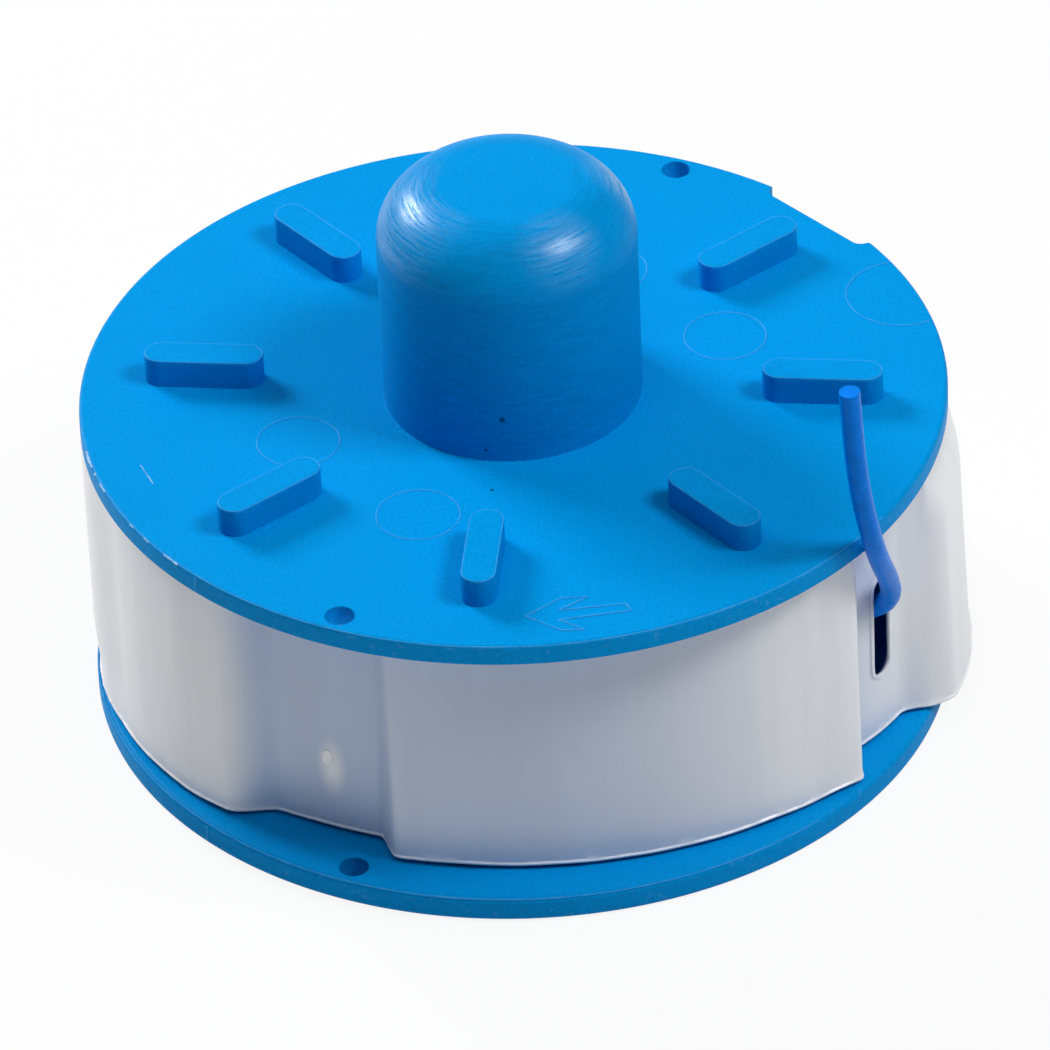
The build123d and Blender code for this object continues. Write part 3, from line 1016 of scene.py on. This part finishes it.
class LINESPOOL_OT_band(bpy.types.Operator):
    """Form the soft band with its recesses, and cut and lip the slot that the line leaves by"""

    bl_idname = "line_spool.band"
    bl_label = "Soft band"

    # Way each recess faces in degrees, width of its floor in millimetres, how soft its two corners are,
    # and its depth as a share of the usual depth
    recesses = ((60, 9.3, 1.2, 1.2, 1.0), (140, 9.3, 1.2, 1.2, 1.0), (240.5, 9.3, 1.4, 0.8, 1.0),
                (319.2, 7.2, 0.9, 1.6, 1.17))
    flare = math.tan(math.radians(38))

    def execute(self, context):
        sizes = context.scene.line_spool_band
        arcs = self.oval(sizes)
        steps, outer_rows, inner_rows = 720, 28, 8
        path = [self.wall_point(sizes, arcs, 360 * k / steps) for k in range(steps)]
        wall, low, high = sizes.wall, sizes.bottom, sizes.top
        round_edge = wall * 0.45
        section = [(-x, z) for x, z in rounded_outline(
            [(0, low, round_edge), (wall, low, round_edge), (wall, high, round_edge), (0, high, round_edge)],
            step=math.radians(30))]
        flat, straight = low + round_edge, high - low - 2 * round_edge
        burr_row = 0.12 * MM
        outer = [(0.0, flat + burr_row)]
        outer += [(0.0, flat + straight * k / outer_rows) for k in range(1, outer_rows)]
        inner = [(-wall, flat + straight * k / inner_rows) for k in range(1, inner_rows)]
        half = len(section) // 4 * 2
        section = section[:half] + inner + section[half:] + outer[::-1]
        band = swept("soft_band", path, right_hand_ways(path), section)
        self.relax(sizes, band)

        # The lip stands on the wall, and the gap widens behind it
        spot = self.slot_spot(sizes, arcs)
        rim = oblong(sizes.slot_length + 2 * sizes.lip_width, sizes.slot_width + 2 * sizes.lip_width)
        edge, lip_foot, widened = 0.06 * MM, -0.45 * MM, -0.7 * MM
        lip_top = sizes.lip_height
        layers = [(lip_foot, 0), (lip_top - edge, 0), (lip_top - 0.3 * edge, 0.3 * edge), (lip_top, edge)]
        lip = prism("slot_lip", rim, layers, spot)
        combined(band, [lip], "UNION")
        layers = [(-2 * MM, widened), (-0.7 * MM, widened), (-0.1 * MM, 0), (lip_top - edge, 0),
                  (lip_top + edge, -edge)]
        gap = prism("slot_gap", oblong(sizes.slot_length, sizes.slot_width), layers, spot)
        combined(band, [gap], "DIFFERENCE")
        band.data.shade_smooth()
        band.data.set_sharp_from_angle(angle=math.radians(40))
        finished(band, band_material(sizes), ["line_band"])
        self.gate_mark(band)
        return {"FINISHED"}

    def oval(self, sizes):
        """Arcs of the oval: where each starts and ends, its centre and its radius."""
        arcs = []
        for first, last, reach in ((0, 180, sizes.back_reach), (180, 360, sizes.front_reach)):
            end = (sizes.half_length + reach - math.sqrt(2) * sizes.half_length) / (2 - math.sqrt(2))
            offset = sizes.half_length - end
            side = end + math.sqrt(2) * offset
            near = 1 if first == 0 else -1
            arcs += [(first, first + 45, Vector((near * offset, 0)), end),
                     (first + 45, last - 45, Vector((0, -near * offset)), side),
                     (last - 45, last, Vector((-near * offset, 0)), end)]
        return arcs

    def oval_point(self, arcs, facing):
        """Place on the oval that faces a given way, and that way."""
        way = Vector((math.cos(math.radians(facing)), math.sin(math.radians(facing))))
        for first, last, centre, radius in arcs:
            if first <= facing < last:
                return centre + way * radius, way
        raise ValueError(facing)

    def placed(self, sizes, point):
        """A place in the band's own axes, in the spool's."""
        turned_point = Matrix.Rotation(sizes.turn, 2) @ point
        return turned_point + Vector((sizes.centre_x, sizes.centre_y))

    def wall_point(self, sizes, arcs, facing):
        """Place on the band's outer face, drawn in where a recess is."""
        point, way = self.oval_point(arcs, facing)
        inset = 0.0
        for middle_facing, floor_width, soft_before, soft_after, depth in self.recesses:
            middle, middle_way = self.oval_point(arcs, middle_facing)
            same_side = 0.5
            if way.dot(middle_way) < same_side:
                continue
            across = (point - middle).dot(Vector((-middle_way.y, middle_way.x)))
            run = sizes.recess_corner * (soft_after if across > 0 else soft_before)
            side = floor_width * MM / 2 + sizes.recess_depth * self.flare / 2
            along = eased(side + run / 2 - abs(across), 0, run)
            inset = max(inset, depth * sizes.recess_depth * along)
        return self.placed(sizes, point - way * inset)

    def slot_spot(self, sizes, arcs):
        """Place of the slot on its recess's floor, as a matrix whose X is upright and Z points outwards."""
        facing, depth = self.recesses[-1][0], self.recesses[-1][-1]
        point, way = self.oval_point(arcs, facing)
        flat = self.placed(sizes, point - way * depth * sizes.recess_depth)
        out = (Matrix.Rotation(sizes.turn, 2) @ way).to_3d()
        middle = Vector((flat.x, flat.y, (sizes.bottom + sizes.top) / 2 - sizes.slot_drop))
        axes = Matrix((UP, out.cross(UP), out)).transposed().to_4x4()
        return Matrix.Translation(middle) @ axes

    def relax(self, sizes, band):
        """Let the soft wall sag: the right end leans out towards the bottom and is tucked in under the rim,
        the left end is pulled out, the wall is uneven, and the lower edge is lifted and ragged."""
        height = sizes.top - sizes.bottom
        # Share of the height where the leaning end keeps its place, and the rise of its tucked edge
        pivot = 0.55
        tuck_rise = 0.26 * MM
        # Shares of the left end's pull: at its lower edge, and where the wall beside it is drawn flat
        low_pull = 0.62
        flattened = 0.30
        # Waves of noise along the wall and up it, and along the lower edge
        along, upward = 120, 45
        fine, slow = 1400, 240
        for vert in band.data.vertices:
            spot = vert.co.copy()
            reach = math.hypot(spot.x, spot.y)
            way = Vector((spot.x, spot.y, 0)) / reach
            up = (spot.z - sizes.bottom) / height
            swell = noise.noise(Vector((spot.x * along, spot.y * along, spot.z * upward)))
            ragged = noise.noise(Vector((spot.x * fine, spot.y * fine, 2.0)))
            wander = noise.noise(Vector((spot.x * slow, spot.y * slow, 7.3)))

            right_end = eased(way.x, 0.72, 0.88) * eased(reach, 29.4 * MM, 30.6 * MM)
            lean = sizes.spread * (pivot - up) * right_end
            vert.co += way * lean
            beyond = max(0.0, reach + lean - sizes.tucked)
            vert.co -= way * beyond * right_end * eased(up, 0.78, 1.0)
            vert.co.z += tuck_rise * right_end * eased(up, 0.8, 1.0)
            if way.x < 0:
                flatter = eased(-way.y, 0.25, 0.50) * (1 - eased(-way.y, 0.55, 0.74))
                pulled = eased(-way.x, 0.905, 0.995) - flattened * flatter
                pull = low_pull + (1 - low_pull) * eased(up, 0.0, 0.3)
                vert.co += way * sizes.left_reach * pulled * pull
            vert.co += way * sizes.waviness * swell * min(1.0, 3 * (1 - up))
            vert.co += way * sizes.burr * (0.8 + 0.4 * ragged) * (1 - eased(up, 0.0136, 0.019))
            vert.co.z += sizes.lift * (1 + 0.6 * wander + 0.3 * ragged) * (1 - eased(up, 0.0, 0.15))

    def gate_mark(self, band):
        """A glossy blob where the band was filled in the mould."""
        surface = BVHTree.FromPolygons([vert.co for vert in band.data.vertices],
                                       [face.vertices for face in band.data.polygons])
        way = math.radians(243.9)
        height = 8.4
        across, along, proud, lean = 0.48, 0.70, 0.16, 0.1
        out = Vector((math.cos(way), math.sin(way), 0))
        outside = out * 60 * MM + UP * height * MM
        spot, normal = surface.ray_cast(outside, -out)[:2]
        side = UP.cross(normal).normalized()
        shape = bmesh.new()
        bmesh.ops.create_icosphere(shape, subdivisions=3, radius=1.0)
        for vert in shape.verts:
            flat = vert.co * (1 + 0.25 * noise.noise(vert.co * 1.7 + Vector((height, 0, 0))))
            vert.co = spot + (side * (flat.x * across + lean * flat.y) + UP * flat.y * along
                              + normal * flat.z * proud) * MM
        gate = new_piece("gate_mark", shape)
        gate.data.shade_smooth()
        finished(gate, gate_material())


class LINESPOOL_OT_stage(bpy.types.Operator):
    """Set up the floor, the soft lights and the camera"""

    bl_idname = "line_spool.stage"
    bl_label = "Studio"

    def execute(self, context):
        sizes = context.scene.line_spool_stage
        shape = bmesh.new()
        just_below = 0.02 * MM
        bmesh.ops.create_grid(shape, x_segments=1, y_segments=1, size=3.0)
        bmesh.ops.translate(shape, verts=shape.verts, vec=(0, 0, cad_low.z - just_below))
        floor = new_piece("floor", shape)
        floor.data.materials.append(self.floor_material(sizes))

        context.scene.view_settings.view_transform = "Standard"
        world = bpy.data.worlds.new("Studio")
        world.use_nodes = True
        context.scene.world = world
        tree = world.node_tree
        level = maths(tree, "MULTIPLY_ADD", self.seen(tree), 1.0 - sizes.room_light, sizes.room_light)
        feed(tree, tree.nodes["Background"], {"Strength": level, "Color": (1.0, 1.0, 1.0, 1.0)})

        self.softbox("left_softbox", (-0.41, 0.32, 0.34), 0.22, sizes.left_light)
        self.softbox("right_softbox", (0.37, -0.07, 0.50), 0.20, sizes.right_light)
        self.softbox("front_softbox", (0.0, -0.22, 0.72), 0.55, sizes.front_light)
        self.softbox("back_softbox", (-0.05, 0.26, 0.62), 0.55, sizes.back_light)

        lens = bpy.data.cameras.new("studio_camera")
        lens.lens = sizes.lens
        lens.sensor_width = 36.0
        camera = bpy.data.objects.new("studio_camera", lens)
        context.scene.collection.objects.link(camera)
        side, lift, roll = sizes.camera_azimuth, sizes.camera_elevation, sizes.camera_roll
        back = Vector((math.sin(side) * math.cos(lift), -math.cos(side) * math.cos(lift), math.sin(lift)))
        right = Vector((math.cos(side), math.sin(side), 0))
        up = back.cross(right)
        tilted = math.cos(roll) * right + math.sin(roll) * up
        top = math.cos(roll) * up - math.sin(roll) * right
        axes = Matrix((tilted, top, back)).transposed().to_4x4()
        camera.matrix_world = Matrix.Translation(sizes.camera_place) @ axes
        context.scene.camera = camera
        return {"FINISHED"}

    def seen(self, tree):
        """1 for rays that show the background: from the camera, or by way of gloss or glass."""
        rays = place(tree, "ShaderNodeLightPath").outputs
        return maths(tree, "MAXIMUM", rays["Is Camera Ray"],
                     maths(tree, "MAXIMUM", rays["Is Glossy Ray"], rays["Is Transmission Ray"]))

    def floor_material(self, sizes):
        """Pale floor that looks white but keeps a soft shadow."""
        material, tree, shader, where = new_material("Pale floor")
        wash = noisy(tree, where, 6.0, 3.0)
        feed(tree, shader, {
            "Base Color": mixed(tree, wash, opaque(sizes.floor_white, 0.985), opaque(sizes.floor_white)),
            "Roughness": 0.9,
            "Specular IOR Level": 0.0,
        })
        glow = place(tree, "ShaderNodeEmission", {"Color": (1.0, 1.0, 1.0, 1.0), "Strength": 1.0})
        amount = times(tree, self.seen(tree), 0.90)
        both = place(tree, "ShaderNodeMixShader", {0: amount, 1: shader.outputs[0], 2: glow.outputs[0]})
        tree.links.new(both.outputs[0], tree.nodes["Material Output"].inputs["Surface"])
        return material

    def softbox(self, name, spot, size, watts):
        """A square soft light that faces the spool."""
        lamp = bpy.data.lights.new(name, "AREA")
        lamp.shape = "SQUARE"
        lamp.size = size
        lamp.energy = watts
        box = bpy.data.objects.new(name, lamp)
        box.location = spot
        middle = Vector((0, 0, 0.02))
        box.rotation_euler = (middle - Vector(spot)).to_track_quat("-Z", "Y").to_euler()
        bpy.context.scene.collection.objects.link(box)


class LINESPOOL_PT_panel(bpy.types.Panel):
    """Lists the sizes and the pieces of the line spool"""

    bl_idname = "LINESPOOL_PT_panel"
    bl_label = "Line spool"
    bl_space_type = "VIEW_3D"
    bl_region_type = "UI"
    bl_category = "Line spool"

    def draw(self, context):
        for holder, makers in PANEL_ROWS:
            column = self.layout.column(align=True)
            for maker in makers:
                column.operator(maker.bl_idname)
            sizes = getattr(context.scene, holder)
            for label in sizes.__annotations__:
                column.prop(sizes, label)


GROUPS = {
    "line_spool_moulding": MouldingSizes,
    "line_spool_line": LineSizes,
    "line_spool_band": BandSizes,
    "line_spool_stage": StageSizes,
}
PANEL_ROWS = (
    ("line_spool_moulding", (LINESPOOL_OT_moulding, LINESPOOL_OT_marks)),
    ("line_spool_line", (LINESPOOL_OT_winding, LINESPOOL_OT_free_end)),
    ("line_spool_band", (LINESPOOL_OT_band,)),
    ("line_spool_stage", (LINESPOOL_OT_stage,)),
)
CLASSES = [*GROUPS.values(), *(maker for _, makers in PANEL_ROWS for maker in makers), LINESPOOL_PT_panel]


def register():
    """Add the classes, and the sizes that the scene holds."""
    for kind in CLASSES:
        bpy.utils.register_class(kind)
    for holder, kind in GROUPS.items():
        setattr(bpy.types.Scene, holder, PointerProperty(type=kind))


def unregister():
    """Take away what register added."""
    for holder in GROUPS:
        delattr(bpy.types.Scene, holder)
    for kind in reversed(CLASSES):
        bpy.utils.unregister_class(kind)


def main():
    """Build the pieces in order."""
    register()
    bpy.ops.line_spool.stage()
    bpy.ops.line_spool.free_end()
    bpy.ops.line_spool.moulding()
    bpy.ops.line_spool.marks()
    bpy.ops.line_spool.winding()
    bpy.ops.line_spool.band()


if __name__ == "__main__":
    main()
